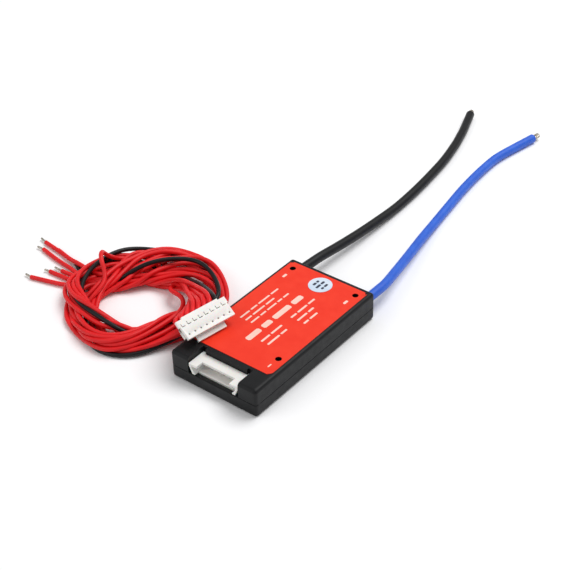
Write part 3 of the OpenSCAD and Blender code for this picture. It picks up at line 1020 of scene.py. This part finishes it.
def square_up(piece, corner, wanted):
    """Gives the case's upright corners a smaller radius than the solid's, both in millimetres.

    Each point in a corner moves away from the centre of the solid's arc, by the share that the wanted
    outline is further from that centre than the arc is.
    """
    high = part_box("bottom_case")[1] / MM
    grow = corner - wanted
    for vertex in piece.data.vertices:
        x, y = vertex.co.x / MM, vertex.co.y / MM
        dx, dy = abs(x) - (high.x - corner), abs(y) - (high.y - corner)
        if dx <= 0 or dy <= 0:
            continue
        run = math.hypot(dx, dy)
        ux, uy = dx / run, dy / run
        if max(ux, uy) * grow >= min(ux, uy) * corner:
            reach = corner / max(ux, uy)
        else:
            both = grow * (ux + uy)
            reach = both + math.sqrt(both**2 - 2 * grow**2 + wanted**2)
        vertex.co.x += math.copysign(dx * (reach / corner - 1) * MM, x)
        vertex.co.y += math.copysign(dy * (reach / corner - 1) * MM, y)


# How far the label's long sides and back edge go in, and the band along its edge whose points move
LABEL_SIDE = 0.7
LABEL_BACK = 1.1
LABEL_BAND = 1.5


def trim_label(piece, side, back):
    """Draws the film's long sides and back edge in; millimetres."""
    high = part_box("label")[1]
    for vertex in piece.data.vertices:
        if abs(vertex.co.x) > high.x - LABEL_BAND * MM:
            vertex.co.x -= math.copysign(side * MM, vertex.co.x)
        if vertex.co.y > high.y - LABEL_BAND * MM:
            vertex.co.y -= back * MM


bottom_case = dressed("bottom_case", case_black, 0.12)
square_up(bottom_case, SOLID_CORNER, SEEN_CORNER)
top_case = dressed("top_case", case_black, 0.15)
square_up(top_case, SOLID_CORNER, SEEN_CORNER)
label = dressed("label", label_red, 0.04)
trim_label(label, LABEL_SIDE, LABEL_BACK)
dressed("seal_sticker", seal_film, 0.04)
dressed("socket_housing", nylon, 0.1)
pierce(dressed("plug_housing", nylon, 0.06), plug_cutter())
dressed("socket_pins", contact_metal, 0.05)
dressed("plug_terminals", contact_metal, 0.04)
dressed("circuit_board", board_mask, 0.05)


def repaint(prefix, material):
    """Gives the solids whose names start so a material. They are inside the closed case."""
    for name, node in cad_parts.items():
        if name.startswith(prefix):
            for held in node.material_slots:
                held.material = material
            if not node.material_slots:
                node.data.materials.append(material)


for prefix in ("mosfet", "protection_chip", "balance_transistor", "bleed_resistor", "shunt"):
    repaint(prefix, chip_epoxy)

# ---------------------------------------------------------------- print: plain bars in a layout of their own

label_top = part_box("label")[1].z
seal_low, seal_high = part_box("seal_sticker")


# Thickness of the ink in metres, and how much of its width a bar's corners lose
INK = 0.000015
BAR_CLIP = 0.22


def add_bar(bm, x, y, width, length, z):
    """A flat bar with clipped corners, its length along Y; millimetres, z in metres."""
    clip = min(width, length) * BAR_CLIP
    w, l = width / 2, length / 2
    corners = [
        (w - clip, -l),
        (w, -l + clip),
        (w, l - clip),
        (w - clip, l),
        (-w + clip, l),
        (-w, l - clip),
        (-w, -l + clip),
        (-w + clip, -l),
    ]
    low = [bm.verts.new(((x + a) * MM, (y + b) * MM, z)) for a, b in corners]
    high = [bm.verts.new((v.co.x, v.co.y, z + INK)) for v in low]
    bm.faces.new(list(reversed(low)))
    bm.faces.new(high)
    for k in range(8):
        n = (k + 1) % 8
        bm.faces.new((low[k], low[n], high[n], high[k]))


def bar_row(bm, x, y, width, lengths, gap, z):
    """Bars of some lengths one after another along Y, from y on."""
    for length in lengths:
        add_bar(bm, x, y + length / 2, width, length, z)
        y += length + gap


bm = bmesh.new()
for x, y, width, lengths, gap in (
    (-10.6, -6, 0.7, (5, 3.4, 6.2, 4), 0.8),
    (-8.2, -6, 0.7, (3.2, 6.4, 4.6), 0.8),
    (-5.8, -6, 0.7, (4.4, 3, 5, 2.4, 3), 0.8),
    (-1, -14, 2.3, (7, 4.6, 9, 5.4), 1.5),
    (3.6, -12, 0.8, (4.6, 5.8), 0.8),
    (6.4, -12, 0.8, (6.4, 3.2), 0.8),
    (3.6, 4.4, 0.8, (3, 5.2, 3.6), 0.8),
    (6.4, 4.4, 0.8, (5.4, 3), 0.8),
    (9.2, 4.4, 0.8, (2.6, 4.2), 0.8),
    (-13.6, 21.6, 1, (2.2,), 1),
    (13.6, 21.6, 1, (2.2,), 1),
    (13.8, -21.2, 0.5, (1.8,), 1),
):
    bar_row(bm, x, y, width, lengths, gap, label_top)
bmesh.ops.recalc_face_normals(bm, faces=bm.faces)
mesh_piece("label_print", bm, print_white)

SEAL_BAR = 0.95
SEAL_GAP = 0.4
bm = bmesh.new()
seal_x, seal_y = (seal_low.x + seal_high.x) / 2 / MM, (seal_low.y + seal_high.y) / 2 / MM
for dx, lengths in ((-1.9, (1.7, 1.2)), (0, (2.6, 1.9)), (1.9, (1.3, 1.9))):
    total = sum(lengths) + SEAL_GAP
    bar_row(bm, seal_x + dx, seal_y - total / 2, SEAL_BAR, lengths, SEAL_GAP, seal_high.z)
bmesh.ops.recalc_face_normals(bm, faces=bm.faces)
mesh_piece("seal_print", bm, seal_ink)

# ---------------------------------------------------------------- floor, lamps and world

# What the floor reflects beyond its colour, for camera and glossy rays alone: no light is added to the part
FLOOR_EXTRA = 0.17


def plain_floor():
    """A floor that is white near the part where nothing shades it, and keeps its soft shadows."""
    bm = bmesh.new()
    bmesh.ops.create_grid(bm, x_segments=1, y_segments=1, size=3)
    data = bpy.data.meshes.new("floor")
    bm.to_mesh(data)
    bm.free()
    floor = bpy.data.objects.new("floor", data)
    floor.location.z = -0.00002
    bpy.context.scene.collection.objects.link(floor)
    material, tree, principled = shader("floor_white", (0.86, 0.86, 0.87), 0.9)
    principled.inputs["Specular IOR Level"].default_value = 0
    path = tree.nodes.new("ShaderNodeLightPath")
    paler = tree.nodes.new("ShaderNodeBsdfDiffuse")
    lit = tree.nodes.new("ShaderNodeMath")
    lit.operation = "MULTIPLY"
    lit.inputs[1].default_value = FLOOR_EXTRA
    add = tree.nodes.new("ShaderNodeAddShader")
    seen = tree.nodes.new("ShaderNodeMath")
    seen.operation = "MAXIMUM"
    tree.links.new(path.outputs["Is Camera Ray"], seen.inputs[0])
    tree.links.new(path.outputs["Is Glossy Ray"], seen.inputs[1])
    tree.links.new(seen.outputs[0], lit.inputs[0])
    tree.links.new(lit.outputs[0], paler.inputs["Color"])
    tree.links.new(principled.outputs[0], add.inputs[0])
    tree.links.new(paler.outputs[0], add.inputs[1])
    tree.links.new(add.outputs[0], tree.nodes["Material Output"].inputs["Surface"])
    data.materials.append(material)


LAMP_SIZE = 0.8


def lamp(name, place, target, watts):
    """A round lamp turned towards the target; metres."""
    data = bpy.data.lights.new(name, "AREA")
    data.shape = "DISK"
    data.size = LAMP_SIZE
    data.energy = watts
    light = bpy.data.objects.new(name, data)
    light.location = place
    light.rotation_euler = (
        (Vector(target) - Vector(place)).to_track_quat("-Z", "Y").to_euler()
    )
    bpy.context.scene.collection.objects.link(light)


plain_floor()
middle_of_part = (-0.02, 0.02, 0)
lamp("overhead", (0.15, 0.45, 0.95), middle_of_part, 7.5)
lamp("front_fill", (-0.5, -0.8, 0.7), middle_of_part, 2.4)

world = bpy.data.worlds.new("studio")
world.use_nodes = True
background = world.node_tree.nodes["Background"]
background.inputs["Color"].default_value = (1, 1, 1, 1)
background.inputs["Strength"].default_value = 0.42
bpy.context.scene.world = world
bpy.context.scene.view_settings.view_transform = "Standard"
